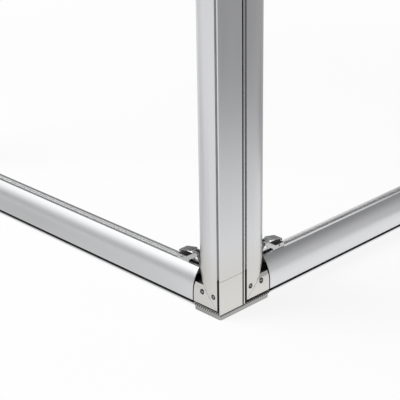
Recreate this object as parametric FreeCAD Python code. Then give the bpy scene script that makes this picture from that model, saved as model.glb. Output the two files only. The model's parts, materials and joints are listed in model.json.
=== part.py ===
import FreeCAD, Part
import math
import os
from FreeCAD import Vector

# Free-standing trade show wall: two fabric frames in a butt corner, bare of their fabric.
# Millimetres. The left frame runs along +Y, the right frame along +X, and +Z is up. One corner is
# modelled once, at the bottom of the left frame's corner end, in (across, along, up) from the
# wall's outer corner, and mirrored to the other seven. At the end all pieces are moved so that
# the origin is on the floor, in the middle of the wall's footprint. Small rounds, such as screws,
# pins and rolled edges, have SIDES flats, which keeps the mesh of all eight corners light.

# Overall sizes
FRAME_LENGTH = 1000.0
FRAME_HEIGHT = 2000.0
FRAME_GAP = 3.0

# Frame profile, measured across the wall (depth) and from the outer edge to the nose (width)
PROFILE_DEPTH = 50.0
PROFILE_WIDTH = 60.0
PROFILE_WALL = 2.0
LIP = 2.5
GROOVE_WIDTH = 4.7
GROOVE_DEPTH = 14.0
SIDE_FLAT = 21.0
NOSE_WIDTH = 18.6
SLOT_MOUTH = 8.0
SLOT_LIP = 2.0
SLOT_WIDTH = 15.0
SLOT_DEPTH = 6.0

# Fits
SEAM = 0.5
RAIL_GAP = 2.4
FIT = 0.3
PIN_GAP = 0.08
THREAD_GAP = 0.1
CUT_OVER = 1.0
SIDES = 8

# Corner pieces
CHEEK_HEIGHT = 40.0
CHEEK_EDGE = 34.5
CHEEK_BEVEL = 3.0
CHEEK_INNER = 8.0
CORE_REACH = 38.0
CORE_SHOULDER = 24.0
SPIGOT_LENGTH = 55.0
GUSSET_THICKNESS = 14.0

# Corner screws, two on each side of each corner, countersunk through the profile's wall
SCREW_RADIUS = 2.5
SCREW_LENGTH = 14.0
SCREW_HEIGHT = 29.2
SCREW_NEAR = 16.0
SCREW_FAR = 41.7

# Floor and top plates
PLATE_THICKNESS = 6.8
PLATE_SETBACK = 1.0
PLATE_CORNER_RADIUS = 3.5
PLATE_SCREW_RUN = 31.0
PLATE_SCREW_HEAD_RADIUS = 5.0
PLATE_SCREW_SUNK = 0.4
PLATE_SCREW_LENGTH = 19.0

# Latch: pivot measured from the upright's nose and above the rail's nose
PIVOT_RUN = 12.2
PIVOT_RISE = 18.2
PIVOT_RADIUS = 2.5
PIVOT_HEAD_RADIUS = 3.3
PIVOT_HEAD_HEIGHT = 0.8
HOOK_PIN_RUN = 7.3
HOOK_PIN_RISE = 1.6
HOOK_PIN_RADIUS = 1.5

# Latch lever, pressed from sheet
SHEET = 1.6
LEVER_WIDTH = 17.0
LEVER_STRIP = 2.7
LEVER_NOTCH = 5.4
LEVER_NOTCH_RUN = 11.8
LEVER_FLAT = 15.0
LEVER_REACH = 35.0
LEVER_SLOPE = 13.0
LEVER_ROLL_RADIUS = 2.6
KNUCKLE_END_ANGLE = 310.0
EAR_RADIUS = 2.7

# Latch base, cast, with an arm on each side of the lever's knuckles
ARM_GAP = 0.2
BASE_START = 28.0
BASE_LENGTH = 27.5
BASE_HEIGHT = 8.5
BASE_CHAMFER = 2.0
ARM_THICKNESS = 2.2
ARM_RADIUS = 3.6
ARM_ROOT_RUN = 33.0
ARM_ROOT_RISE = 5.0
FOOT_INSET = 2.0
BASE_SCREW_RUN = 43.5
BASE_SCREW_RISE = 5.4
BASE_SCREW_RADIUS = 2.2
BASE_SCREW_END = 0.8

# Latch hook and the keeper in the upright's slot
HOOK_THICKNESS = 4.8
HOOK_EYE_RADIUS = 3.0
HOOK_BAR = 4.0
CLAW_RUN = 3.2
CLAW_THICKNESS = 3.0
CLAW_TOP = 9.0
KEEPER_WIDTH = 7.0
KEEPER_TONGUE = 1.8
KEEPER_LIP = 2.2
KEEPER_LIP_HEIGHT = 5.7
KEEPER_HEIGHT = 15.0
KEEPER_CHANNEL = 5.8
KEEPER_STEP = 3.0

# Derived places
GROOVE_END = LIP + GROOVE_WIDTH
MIDDLE = PROFILE_DEPTH / 2
NOSE_DROP = (PROFILE_DEPTH - NOSE_WIDTH) / 2
CORNER = PROFILE_WIDTH
SCREW_HEAD_RADIUS = SCREW_RADIUS + PROFILE_WALL + FIT
SIDE_RISE = PROFILE_WIDTH - SIDE_FLAT
SIDE_RADIUS = (SIDE_RISE ** 2 + NOSE_DROP ** 2) / (2 * NOSE_DROP)
CHAMBER_END = PROFILE_WIDTH - SLOT_LIP - SLOT_DEPTH - PROFILE_WALL
FRAME_BASE = PLATE_THICKNESS
FRAME_TOP = FRAME_BASE + FRAME_HEIGHT
FOOTPRINT_MIDDLE = ((PROFILE_DEPTH + FRAME_GAP + FRAME_LENGTH) / 2, FRAME_LENGTH / 2)
RAIL_START = CORNER + RAIL_GAP
PIVOT = (CORNER + PIVOT_RUN, CORNER + PIVOT_RISE)
HOOK_PIN = (PIVOT[0] + HOOK_PIN_RUN, PIVOT[1] + HOOK_PIN_RISE)
KNUCKLE_RADIUS = PIVOT_RADIUS + PIN_GAP + SHEET
BASE_WIDTH = LEVER_NOTCH + 2 * (LEVER_STRIP + ARM_GAP + ARM_THICKNESS)
HALF_FLAT = 0.5
X_AXIS = Vector(1, 0, 0)
Y_AXIS = Vector(0, 1, 0)
Z_AXIS = Vector(0, 0, 1)


def box(across, along, up):
    """Box from (low, high) pairs; up is counted from the frame's bottom."""
    size = [high - low for low, high in (across, along, up)]
    return Part.makeBox(*size, Vector(across[0], along[0], FRAME_BASE + up[0]))


def centred(width):
    """(low, high) pair of a width centred across the wall."""
    return (MIDDLE - width / 2, MIDDLE + width / 2)


def side_point(along, up, across=0.0):
    return Vector(across, along, FRAME_BASE + up)


def side_prism(points, across):
    """Prism across the wall, over an outline of (along, up) points."""
    corners = [side_point(along, up, across[0]) for along, up in points]
    face = Part.Face(Part.makePolygon(corners + corners[:1]))
    return face.extrude(Vector(across[1] - across[0], 0, 0))


def flats(radius, centre=(0.0, 0.0), turn=0.0):
    """Corners of a small round in its own plane; turn is counted in flats."""
    angles = [math.tau * (count + turn) / SIDES for count in range(SIDES)]
    return [(centre[0] + radius * math.cos(angle), centre[1] + radius * math.sin(angle))
            for angle in angles]


def side_disc(centre, radius, across):
    """Small round across the wall, at an (along, up) centre."""
    return side_prism(flats(radius, centre), across)


def side_bore(centre, radius, across):
    """Hole that a small round of this radius can turn in, whichever way its corners point."""
    return side_prism(flats(radius / math.cos(math.pi / SIDES), centre, HALF_FLAT), across)


def side_bar(start, end, width, across):
    """Flat bar across the wall, centred on the line from start to end."""
    run = end[0] - start[0]
    rise = end[1] - start[1]
    length = math.hypot(run, rise)
    shift = (-rise / length * width / 2, run / length * width / 2)
    outline = [
        (start[0] + shift[0], start[1] + shift[1]),
        (end[0] + shift[0], end[1] + shift[1]),
        (end[0] - shift[0], end[1] - shift[1]),
        (start[0] - shift[0], start[1] - shift[1]),
    ]
    return side_prism(outline, across)


def fused(shapes):
    whole = shapes[0].fuse(shapes[1:]) if len(shapes) > 1 else shapes[0]
    return whole.removeSplitter()


def side_depth(distance, wall=0.0):
    """How far the profile's side stands back at this distance from its outer edge."""
    rise = max(distance - SIDE_FLAT, 0.0)
    return SIDE_RADIUS - math.sqrt((SIDE_RADIUS - wall) ** 2 - rise ** 2)


def side_arc(start, end, place, wall=0.0, far=False):
    """Arc of the profile's curved side between two distances from its outer edge."""
    def on_side(distance):
        depth = side_depth(distance, wall)
        return place(PROFILE_DEPTH - depth if far else depth, distance)

    return Part.Arc(on_side(start), on_side((start + end) / 2), on_side(end)).toShape()


def closed_wire(pieces, place):
    """Wire from points in profile sizes and ready arcs, in order round the outline."""
    edges = []
    last = None
    first = None
    for piece in pieces:
        if isinstance(piece, tuple):
            point = place(*piece)
            if last is not None and last.distanceToPoint(point) > 0:
                edges.append(Part.makeLine(last, point))
            first = first or point
            last = point
        else:
            edges.append(piece)
            last = piece.valueAt(piece.LastParameter)
    if last.distanceToPoint(first) > 0:
        edges.append(Part.makeLine(last, first))
    return Part.Wire(edges)


def outer_outline(place):
    """Half of the outline is walked on the far side of the wall, half on the near side."""
    depth = PROFILE_DEPTH
    width = PROFILE_WIDTH
    lip_end = width - SLOT_LIP
    slot_end = lip_end - SLOT_DEPTH
    mouth = centred(SLOT_MOUTH)
    slot = centred(SLOT_WIDTH)
    far_arc = side_arc(SIDE_FLAT, width, place, far=True)
    near_arc = side_arc(width, SIDE_FLAT, place)
    return closed_wire([
        (0.0, 0.0), (depth, 0.0), (depth, LIP),
        (depth - GROOVE_DEPTH, LIP), (depth - GROOVE_DEPTH, GROOVE_END), (depth, GROOVE_END),
        (depth, SIDE_FLAT), far_arc,
        (mouth[1], width), (mouth[1], lip_end), (slot[1], lip_end), (slot[1], slot_end),
        (slot[0], slot_end), (slot[0], lip_end), (mouth[0], lip_end), (mouth[0], width),
        (NOSE_DROP, width), near_arc,
        (0.0, GROOVE_END), (GROOVE_DEPTH, GROOVE_END), (GROOVE_DEPTH, LIP), (0.0, LIP),
    ], place)


def chamber_outline(place):
    """The hollow inside the profile, with its narrow part between the two grooves."""
    wall = PROFILE_WALL
    start = GROOVE_END + wall
    neck = GROOVE_DEPTH + wall
    far_arc = side_arc(SIDE_FLAT, CHAMBER_END, place, wall, far=True)
    near_arc = side_arc(CHAMBER_END, SIDE_FLAT, place, wall)
    return closed_wire([
        (neck, LIP), (PROFILE_DEPTH - neck, LIP), (PROFILE_DEPTH - neck, start),
        (PROFILE_DEPTH - wall, start), (PROFILE_DEPTH - wall, SIDE_FLAT), far_arc,
        (side_depth(CHAMBER_END, wall), CHAMBER_END), near_arc,
        (wall, start), (neck, start),
    ], place)


def profile_face(place):
    return Part.Face(outer_outline(place)).cut(Part.Face(chamber_outline(place))).Faces[0]


def lathe(profile):
    """Small round solid about +Z through (radius, height) points, closed at both ends."""
    rings = [[Vector(x, y, height) for x, y in flats(radius)] for radius, height in profile]
    outlines = [rings[0], rings[-1]]
    for low, high in zip(rings, rings[1:]):
        outlines += [[low[i - 1], low[i], high[i], high[i - 1]] for i in range(SIDES)]
    faces = [Part.Face(Part.makePolygon(outline + outline[:1])) for outline in outlines]
    return Part.Solid(Part.Shell(faces))


def countersunk_screw(head_radius, length, gap=0.0):
    """Screw along +Z with its head's flat top at the origin; gap makes its countersunk hole."""
    over = CUT_OVER if gap else 0.0
    return lathe([(head_radius + gap + over, -over), (SCREW_RADIUS + gap, head_radius - SCREW_RADIUS),
                  (SCREW_RADIUS + gap, length + gap)])


def turned(shape, axis, angle, place):
    """A copy turned about an axis through the origin, then moved to its place."""
    copy = shape.copy()
    copy.rotate(Vector(0, 0, 0), axis, angle)
    copy.translate(place)
    return copy


def mirror_across(shape):
    return shape.mirror(Vector(MIDDLE, 0, 0), X_AXIS)


def mirror_along(shape):
    return shape.mirror(Vector(0, FRAME_LENGTH / 2, 0), Y_AXIS)


def mirror_up(shape):
    return shape.mirror(Vector(0, 0, FRAME_BASE + FRAME_HEIGHT / 2), Z_AXIS)


def corner_screws(gap=0.0):
    """Two screws through each side: one holds the upright, one the cheek, both in the core."""
    screw = countersunk_screw(SCREW_HEAD_RADIUS, SCREW_LENGTH, gap)
    screws = []
    for along in (SCREW_NEAR, SCREW_FAR):
        depth = side_depth(SCREW_HEIGHT) if along > SCREW_HEIGHT else 0.0
        near = turned(screw, Y_AXIS, 90, side_point(along, SCREW_HEIGHT, depth))
        screws += [near, mirror_across(near)]
    return screws


def screw_channels():
    """Bores across the core, each shared by the two screws that meet from both sides."""
    return [side_disc((along, SCREW_HEIGHT), SCREW_RADIUS + THREAD_GAP, (0.0, PROFILE_DEPTH))
            for along in (SCREW_NEAR, SCREW_FAR)]


def plate_screw(gap=0.0):
    """Screw from below, through a plate and the corner's sole into the core."""
    screw = countersunk_screw(PLATE_SCREW_HEAD_RADIUS, PLATE_SCREW_LENGTH, gap)
    screw.translate(Vector(MIDDLE, PLATE_SCREW_RUN, PLATE_SCREW_SUNK))
    return screw


def below_mitre(gap=0.0):
    """Everything on the rail's side of the corner's mitre plane, for cutting."""
    far = CORNER + CUT_OVER
    outline = [(gap - CUT_OVER, -CUT_OVER), (far + gap, -CUT_OVER), (far + gap, far)]
    return side_prism(outline, (-CUT_OVER, PROFILE_DEPTH + CUT_OVER))


def upright():
    """Full-height profile, mitred above the corner pieces and notched round the end caps."""
    face = profile_face(lambda across, along: Vector(across, along, FRAME_BASE))
    bar = face.extrude(Vector(0, 0, FRAME_HEIGHT))
    notch = box((-CUT_OVER, PROFILE_DEPTH + CUT_OVER), (-CUT_OVER, GROOVE_END),
                (-CUT_OVER, CORNER + SEAM))
    end_cut = fused([below_mitre(), notch] + corner_screws(THREAD_GAP))
    return bar.cut([end_cut, mirror_up(end_cut)])


def bottom_rail():
    """Profile between the two corners, cut square, with its nose up."""
    face = profile_face(lambda across, up: side_point(RAIL_START, up, across))
    return face.extrude(Vector(0, FRAME_LENGTH - 2 * RAIL_START, 0))


def corner_cap():
    """Bright plate that closes the corner's end, standing on the sole in line with the lip."""
    return box((0.0, PROFILE_DEPTH), (0.0, LIP), (LIP, CORNER))


def corner_sole():
    """Dark plate that closes the corner's underside, in line with the rail's lip."""
    sole = box((0.0, PROFILE_DEPTH), (0.0, CORNER), (0.0, LIP))
    return sole.cut(plate_screw(THREAD_GAP))


def corner_cheek():
    """Plate that carries the rail's curved side on to the mitre, its top edge bevelled."""
    def place(across, up):
        return side_point(GROOVE_END, up, across)

    bevel_top = side_depth(CHEEK_EDGE) + CHEEK_BEVEL
    outline = closed_wire([
        (CHEEK_INNER, GROOVE_END), (0.0, GROOVE_END), (0.0, SIDE_FLAT),
        side_arc(SIDE_FLAT, CHEEK_EDGE, place), (bevel_top, CHEEK_HEIGHT), (CHEEK_INNER, CHEEK_HEIGHT),
    ], place)
    plate = Part.Face(outline).extrude(Vector(0, CORNER - GROOVE_END, 0))
    return plate.common(below_mitre(SEAM)).cut(corner_screws(THREAD_GAP))


def spigot(shoulder, reach, start, end, upright_way):
    """Stepped tongue that fills the profile's chamber over part of its width."""
    inner = GROOVE_END + PROFILE_WALL + FIT
    wide = (PROFILE_WALL + FIT, PROFILE_DEPTH - PROFILE_WALL - FIT)
    narrow = (CHEEK_INNER + FIT, PROFILE_DEPTH - CHEEK_INNER - FIT)
    if upright_way:
        return [box(wide, (inner, shoulder), (start, end)), box(narrow, (inner, reach), (start, end))]
    return [box(wide, (start, end), (inner, shoulder)), box(narrow, (start, end), (inner, reach))]


def corner_core():
    """Black angle inside the corner, with a tongue up the upright and one along the rail."""
    end = CORNER + SPIGOT_LENGTH
    inner = GROOVE_END + PROFILE_WALL + FIT
    neck = (GROOVE_DEPTH + PROFILE_WALL + FIT, PROFILE_DEPTH - GROOVE_DEPTH - PROFILE_WALL - FIT)
    up_wide, up_narrow = spigot(CORE_SHOULDER, CORE_REACH, inner, end, True)
    out_wide, out_narrow = spigot(CORE_SHOULDER, CORE_REACH, inner, end, False)
    out_wide = out_wide.cut(box((0.0, PROFILE_DEPTH), (0.0, RAIL_START + FIT), (0.0, CORNER)))
    gusset = side_prism([(CORE_SHOULDER, CORE_SHOULDER), (CORNER - FIT, CORE_SHOULDER),
                         (CORNER - FIT, CORNER - FIT)], centred(GUSSET_THICKNESS))
    solid = fused([
        up_wide.cut(below_mitre(-FIT)), up_narrow, out_wide, out_narrow,
        gusset.common(below_mitre(SEAM)),
        box(neck, (LIP, inner), (LIP, end)), box(neck, (LIP, end), (LIP, inner)),
    ])
    return solid.cut(screw_channels() + [plate_screw(THREAD_GAP)])


def rounded_plate(reach_across, reach_along):
    """Plate on the floor from the outer corner, with rounded corners."""
    radius = PLATE_CORNER_RADIUS
    centres = [(reach_across - radius, reach_along - radius), (radius, reach_along - radius),
               (radius, radius), (reach_across - radius, radius)]
    quarter = SIDES // 4
    outline = []
    for corner, centre in enumerate(centres):
        ring = flats(radius, centre)
        outline += [ring[(corner * quarter + step) % SIDES] for step in range(quarter + 1)]
    points = [Vector(across, along, 0) for across, along in outline]
    return Part.Face(Part.makePolygon(points + points[:1])).extrude(Vector(0, 0, PLATE_THICKNESS))


def corner_plate():
    """Plate under both frames at the butt corner."""
    plate = rounded_plate(PROFILE_DEPTH + FRAME_GAP + CORNER - PLATE_SETBACK, CORNER - PLATE_SETBACK)
    hole = plate_screw(THREAD_GAP)
    return plate.cut([hole, to_right_frame(hole)])


def foot_plate():
    """Plate under the free end of a frame, as thick as the corner plate."""
    plate = rounded_plate(PROFILE_DEPTH, CORNER - PLATE_SETBACK)
    return mirror_along(plate.cut(plate_screw(THREAD_GAP)))


def latch_strips():
    """The (low, high) pairs of the two strips beside the lever's notch."""
    middle = (LEVER_NOTCH + LEVER_STRIP) / 2
    return [(MIDDLE + side * middle - LEVER_STRIP / 2, MIDDLE + side * middle + LEVER_STRIP / 2)
            for side in (-1, 1)]


def knuckle(across):
    """Rolled eye, open towards the rail, that wraps most of the pivot."""
    ring = side_disc(PIVOT, KNUCKLE_RADIUS, across)
    opening = math.radians(KNUCKLE_END_ANGLE)
    far = 2 * KNUCKLE_RADIUS
    wedge = side_prism([
        PIVOT, (PIVOT[0] + far * math.cos(opening), PIVOT[1] + far * math.sin(opening)),
        (PIVOT[0] + far, PIVOT[1]), (PIVOT[0] + far, PIVOT[1] + far), (PIVOT[0], PIVOT[1] + far),
    ], across)
    return ring.cut([wedge, side_bore(PIVOT, PIVOT_RADIUS + PIN_GAP, across)])


def latch_lever():
    """Pressed lever: two knuckles, ears for the hook's pin, a plate and a tightly rolled edge."""
    top = PIVOT[1] + KNUCKLE_RADIUS
    bend = PIVOT[0] + LEVER_FLAT
    notch_end = PIVOT[0] + LEVER_NOTCH_RUN
    drop = (LEVER_REACH - LEVER_FLAT) * math.tan(math.radians(LEVER_SLOPE))
    tip = (PIVOT[0] + LEVER_REACH, top - drop)
    roll = (tip[0], tip[1] - LEVER_ROLL_RADIUS)
    plate = centred(LEVER_WIDTH)
    parts = [
        side_prism([(notch_end, top), (bend, top), tip, (tip[0], tip[1] - SHEET),
                    (bend, top - SHEET), (notch_end, top - SHEET)], plate),
        side_disc(roll, LEVER_ROLL_RADIUS, plate),
        side_disc(HOOK_PIN, HOOK_PIN_RADIUS, (latch_strips()[0][0], latch_strips()[1][1])),
    ]
    for strip in latch_strips():
        parts += [
            knuckle(strip),
            side_prism([(PIVOT[0], top), (notch_end + SHEET, top),
                        (notch_end + SHEET, top - SHEET), (PIVOT[0], top - SHEET)], strip),
            side_disc(HOOK_PIN, EAR_RADIUS, strip),
        ]
    return fused(parts)


def latch_base():
    """Cast base on the rail's nose: a block with a foot in the slot and two pivot arms."""
    start = CORNER + BASE_START
    end = start + BASE_LENGTH
    top = CORNER + BASE_HEIGHT
    lip = CORNER - SLOT_LIP
    root = (CORNER + ARM_ROOT_RUN, CORNER + ARM_ROOT_RISE)
    width = centred(BASE_WIDTH)
    foot = (start + FOOT_INSET, end - FOOT_INSET)
    arms = []
    for across in ((width[0], width[0] + ARM_THICKNESS), (width[1] - ARM_THICKNESS, width[1])):
        arms += [side_bar(PIVOT, root, 2 * ARM_RADIUS, across), side_disc(PIVOT, ARM_RADIUS, across)]
    block = side_prism([
        (start, CORNER), (end, CORNER), (end, top - BASE_CHAMFER), (end - BASE_CHAMFER, top),
        (start + BASE_CHAMFER, top), (start, top - BASE_CHAMFER)], width)
    neck = box(centred(SLOT_MOUTH - 2 * FIT), foot, (lip - FIT, CORNER))
    shoe = box(centred(SLOT_WIDTH - 2 * FIT), foot, (lip - SLOT_DEPTH + FIT, lip - FIT))
    under = box((0.0, PROFILE_DEPTH), (start, end + CORNER), (lip, CORNER))
    arms = [arm.cut(under) for arm in arms]
    bore = side_disc(PIVOT, PIVOT_RADIUS + PIN_GAP, width)
    return fused([block, neck, shoe] + arms).cut([bore] + base_screw(THREAD_GAP))


def pivot_pins():
    """Stub rivet on each side, so that the middle stays free for the hook."""
    width = centred(BASE_WIDTH)
    pin = lathe([(PIVOT_HEAD_RADIUS, -PIVOT_HEAD_HEIGHT), (PIVOT_RADIUS, 0.0),
                 (PIVOT_RADIUS, latch_strips()[0][1] - width[0])])
    near = turned(pin, Y_AXIS, 90, side_point(*PIVOT, width[0]))
    return [near, mirror_across(near)]


def base_screw(gap=0.0):
    """Cross screw of the latch base, its ends standing out of both sides."""
    low, high = centred(BASE_WIDTH)
    centre = (CORNER + BASE_SCREW_RUN, CORNER + BASE_SCREW_RISE)
    across = (low - BASE_SCREW_END, high + BASE_SCREW_END)
    return [side_disc(centre, BASE_SCREW_RADIUS + gap, across)]


def latch_hook():
    """Draw hook: an eye on the lever's pin, a bar and a claw that drops behind the keeper."""
    across = centred(HOOK_THICKNESS)
    claw = (CORNER + CLAW_RUN, CORNER + CLAW_RUN + CLAW_THICKNESS)
    claw_foot = CORNER + FIT + KEEPER_TONGUE + FIT
    claw_top = CORNER + CLAW_TOP
    shoulder = ((claw[0] + claw[1]) / 2, claw_top - HOOK_BAR / 2)
    hook = fused([
        side_disc(HOOK_PIN, HOOK_EYE_RADIUS, across),
        side_bar(HOOK_PIN, shoulder, HOOK_BAR, across),
        side_disc(shoulder, HOOK_BAR / 2, across),
        side_prism([(claw[0], claw_foot), (claw[1], claw_foot), (claw[1], shoulder[1]),
                    (claw[0], shoulder[1])], across),
    ])
    return hook.cut(side_bore(HOOK_PIN, HOOK_PIN_RADIUS + PIN_GAP, across))


def keeper():
    """Keeper held in the upright's slot: a tongue over the rail with a turned-up lip."""
    lip_start = CORNER + CLAW_RUN + CLAW_THICKNESS + FIT
    lip_end = lip_start + KEEPER_LIP
    low = CORNER + FIT
    tongue_top = low + KEEPER_TONGUE
    slot_start = CORNER - SLOT_LIP - SLOT_DEPTH + FIT
    slot_end = CORNER - SLOT_LIP - FIT
    foot_low = CORNER + SEAM
    tongue = box(centred(KEEPER_WIDTH), (slot_start, lip_end), (low, tongue_top))
    lip = box(centred(KEEPER_WIDTH), (lip_start, lip_end), (low, CORNER + KEEPER_LIP_HEIGHT))
    foot = box(centred(SLOT_WIDTH - 2 * FIT), (slot_start, slot_end), (foot_low, CORNER + KEEPER_HEIGHT))
    channel = box(centred(KEEPER_CHANNEL), (slot_start, slot_end),
                  (CORNER + KEEPER_STEP, CORNER + KEEPER_HEIGHT))
    return fused([tongue, lip, foot.cut(channel)])


def to_right_frame(shape):
    """Swap the two floor directions and step past the left frame and the gap."""
    swapped = shape.mirror(Vector(0, 0, 0), Vector(1, -1, 0))
    swapped.translate(Vector(PROFILE_DEPTH + FRAME_GAP, 0, 0))
    return swapped


def four_corners(shape):
    """One frame's copies of a corner piece, named by level and end."""
    end = mirror_along(shape)
    return {
        "bottom_corner": shape,
        "bottom_end": end,
        "top_corner": mirror_up(shape),
        "top_end": mirror_up(end),
    }


def eight_corners(shape):
    """Both frames' copies of a corner piece, named by side, level and end."""
    copies = {}
    for place, copy in four_corners(shape).items():
        copies["left_" + place] = copy
        copies["right_" + place] = to_right_frame(copy)
    return copies


def group(shapes):
    return Part.makeCompound(shapes)


def everywhere(shapes):
    """A group with each of these pieces at all eight corners."""
    copies = []
    for shape in shapes:
        copies += eight_corners(shape).values()
    return group(copies)


def both_frames(name, shape):
    return {"left_" + name: shape, "right_" + name: to_right_frame(shape)}


def frame_bars():
    near = upright()
    rail = bottom_rail()
    nodes = {}
    nodes.update(both_frames("corner_upright", near))
    nodes.update(both_frames("end_upright", mirror_along(near)))
    nodes.update(both_frames("bottom_rail", rail))
    nodes.update(both_frames("top_rail", mirror_up(rail)))
    return nodes


def corner_pieces():
    pieces = {
        "cap": corner_cap(),
        "core": corner_core(),
        "latch_base": latch_base(),
        "latch_lever": latch_lever(),
        "latch_hook": latch_hook(),
    }
    nodes = {}
    for kind, shape in pieces.items():
        for place, copy in eight_corners(shape).items():
            nodes[place + "_" + kind] = copy
    cheek = corner_cheek()
    left_cheeks = []
    for shape in (cheek, mirror_across(cheek)):
        left_cheeks += four_corners(shape).values()
    nodes.update(both_frames("corner_cheeks", group(left_cheeks)))
    return nodes


def plates():
    base = corner_plate()
    nodes = {"corner_floor_plate": base, "corner_top_plate": mirror_up_whole(base)}
    nodes.update(both_frames("foot_plate", foot_plate()))
    return nodes


def mirror_up_whole(shape):
    """Mirror between floor and top, for what lies outside the frames."""
    return shape.mirror(Vector(0, 0, (FRAME_TOP + PLATE_THICKNESS) / 2), Z_AXIS)


def all_plate_screws():
    near = plate_screw()
    corner = [near, to_right_frame(near)]
    end = mirror_along(near)
    above = [mirror_up_whole(screw) for screw in corner]
    return group(corner + [end, to_right_frame(end)] + above)


def build():
    nodes = {}
    nodes.update(frame_bars())
    nodes.update(corner_pieces())
    nodes.update(plates())
    nodes["corner_soles"] = everywhere([corner_sole()])
    nodes["corner_screws"] = everywhere(corner_screws())
    nodes["plate_screws"] = all_plate_screws()
    nodes["latch_keepers"] = everywhere([keeper()])
    nodes["latch_pivot_pins"] = everywhere(pivot_pins())
    nodes["latch_base_screws"] = everywhere(base_screw())
    return nodes


os.makedirs("parts", exist_ok=True)
for name, shape in build().items():
    shape.translate(Vector(-FOOTPRINT_MIDDLE[0], -FOOTPRINT_MIDDLE[1], 0))
    shape.exportStep("parts/" + name + ".step")
    print(name, len(shape.Solids), shape.isValid(), round(shape.Volume))
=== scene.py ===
import json
import math

import bmesh
import bpy
from mathutils import Matrix, Vector


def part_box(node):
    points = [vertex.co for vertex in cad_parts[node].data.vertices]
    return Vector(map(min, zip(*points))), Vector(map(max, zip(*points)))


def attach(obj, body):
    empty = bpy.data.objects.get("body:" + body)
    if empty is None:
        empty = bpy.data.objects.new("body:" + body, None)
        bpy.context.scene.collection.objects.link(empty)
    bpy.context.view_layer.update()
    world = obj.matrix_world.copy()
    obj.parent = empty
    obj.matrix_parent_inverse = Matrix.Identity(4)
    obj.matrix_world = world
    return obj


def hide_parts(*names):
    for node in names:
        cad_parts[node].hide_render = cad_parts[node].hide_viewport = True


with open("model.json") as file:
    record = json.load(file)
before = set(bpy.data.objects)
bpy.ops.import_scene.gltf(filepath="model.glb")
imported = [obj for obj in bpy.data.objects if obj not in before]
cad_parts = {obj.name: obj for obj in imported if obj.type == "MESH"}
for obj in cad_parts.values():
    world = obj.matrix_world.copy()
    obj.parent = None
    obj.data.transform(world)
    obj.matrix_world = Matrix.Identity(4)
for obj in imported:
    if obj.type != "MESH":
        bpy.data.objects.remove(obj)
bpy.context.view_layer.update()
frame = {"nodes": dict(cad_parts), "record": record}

# Trade show wall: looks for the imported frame. Metres, in the row frame. Latch pieces and screws
# are drawn once, in millimetres, as (across, along, up) from a frame's outer bottom edge, and
# then placed at the eight frame corners.
MM = 0.001
SIDES = ("left", "right")
LEVELS = ("bottom", "top")
ENDS = ("corner", "end")

# Places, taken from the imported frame
LEFT_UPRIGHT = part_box("left_corner_upright")
LEFT_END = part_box("left_end_upright")
RIGHT_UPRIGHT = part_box("right_corner_upright")
RIGHT_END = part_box("right_end_upright")
FRAME_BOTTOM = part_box("left_bottom_rail")[0].z
FRAME_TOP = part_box("left_top_rail")[1].z
ORIGINS = {"left": Vector((LEFT_UPRIGHT[0].x, LEFT_UPRIGHT[0].y, FRAME_BOTTOM)),
           "right": Vector((RIGHT_UPRIGHT[0].x, RIGHT_UPRIGHT[0].y, FRAME_BOTTOM))}
JOINTS = {joint["name"]: joint for joint in frame["record"]["behaviour"]["joints"]}

# The axis along each frame's rails and along the uprights, and the wall's run along every axis
ALONG = {"left": 1, "right": 0}
UPRIGHT = 2
RUNS = ((RIGHT_UPRIGHT[0].x, RIGHT_END[1].x), (LEFT_UPRIGHT[0].y, LEFT_END[1].y),
        (FRAME_BOTTOM, FRAME_TOP))

# A frame's size, in millimetres
DEPTH = (LEFT_UPRIGHT[1].x - LEFT_UPRIGHT[0].x) / MM
LENGTH = (LEFT_END[1].y - LEFT_UPRIGHT[0].y) / MM
HEIGHT = (FRAME_TOP - FRAME_BOTTOM) / MM
MIDDLE = DEPTH / 2

# Latch lever, in millimetres and degrees about its pivot. LEVER_BEND rounds the bend into the
# slope, as (along, down) from it. STRIP is the two knuckles' and ears' span from the middle.
SHEET = 1.6
KNUCKLE_RADIUS = 4.18
KNUCKLE_OPEN = 310.0
LEVER_FLAT = 15.0
LEVER_BEND = ((-1.5, 0.0), (0.0, 0.1), (1.5, 0.45))
LEVER_REACH = 35.0
LEVER_SLOPE = 13.0
LEVER_NOTCH_RUN = 11.8
LEVER_WIDTH = 17.0
LEVER_BEVEL = 0.25
ROLL_RADIUS = 2.6
ROLL_END = -230.0
STRIP = (2.7, 5.4)
EAR_RADIUS = 2.7
HOOK_PIN_RADIUS = 1.5
HOOK_PIN_CHAMFER = 0.2

# Draw hook, from the lever's pivot
EYE_RADIUS = 3.0
EYE_HALF_ARC = 130.0
HOOK_BAR = 4.0
HOOK_THICKNESS = 4.8
HOOK_BEVEL = 0.4
CLAW = (-9.0, -6.0)
CLAW_FOOT = -15.8
CLAW_CHAMFER = 0.4
SHOULDER_RISE = -11.2
SHOULDER_END = -30.0

# Cast base, from the pivot, with its foot in the rail's slot below it. The arms stand proud of
# the block by half of ARM_PROUD on each side, and the block's top is painted shade under the lever.
BASE_RUN = (15.8, 43.3)
BASE_RISE = (-18.2, -9.7)
BASE_WIDTH = 15.6
BASE_CHAMFER = 2.0
BASE_BEVEL = 0.5
BASE_TOP_SHADE = (4,)
ARM_THICKNESS = 2.2
ARM_PROUD = 0.1
ARM_RADIUS = 3.6
ARM_ROOT = (20.8, -13.2)
NECK_WIDTH = 7.4
SHOE_WIDTH = 14.4
FOOT_INSET = 2.0
FOOT_DEPTH = (2.3, 7.7)
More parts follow.
